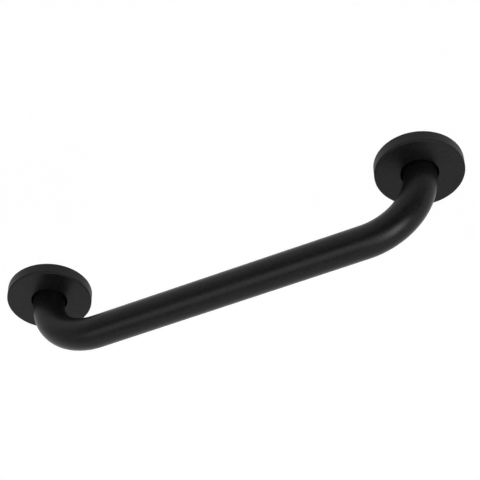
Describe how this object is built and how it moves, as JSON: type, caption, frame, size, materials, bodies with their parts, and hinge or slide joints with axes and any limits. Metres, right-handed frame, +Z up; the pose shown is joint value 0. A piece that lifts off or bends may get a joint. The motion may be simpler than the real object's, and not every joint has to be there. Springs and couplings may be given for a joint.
{
  "type": "grab bar",
  "caption": "Straight wall grab bar: a round tube bent back to the wall at each end, welded to screw flanges that round push-on covers hide.",
  "frame": {"origin": "on the wall, midway between the two flanges", "axes": "+X along the bar, +Y into the wall, so the bar stands out towards -Y, +Z up"},
  "size_m": [0.485, 0.091, 0.085],
  "materials": {
    "bar_coat": "matte black powder coat",
    "cover_coat": "matte black powder coat"
  },
  "bodies": {
    "bar": {"grab_tube": "bar_coat", "left_flange": "bar_coat", "right_flange": "bar_coat"},
    "left_cover": {"left_cover": "cover_coat"},
    "right_cover": {"right_cover": "cover_coat"}
  },
  "joints": [
    {"name": "left_cover_slide", "type": "slide", "parent": "bar", "child": "left_cover", "axis": [0, -1, 0], "range_m": [0, 0.015]},
    {"name": "right_cover_slide", "type": "slide", "parent": "bar", "child": "right_cover", "axis": [0, -1, 0], "range_m": [0, 0.015]}
  ]
}
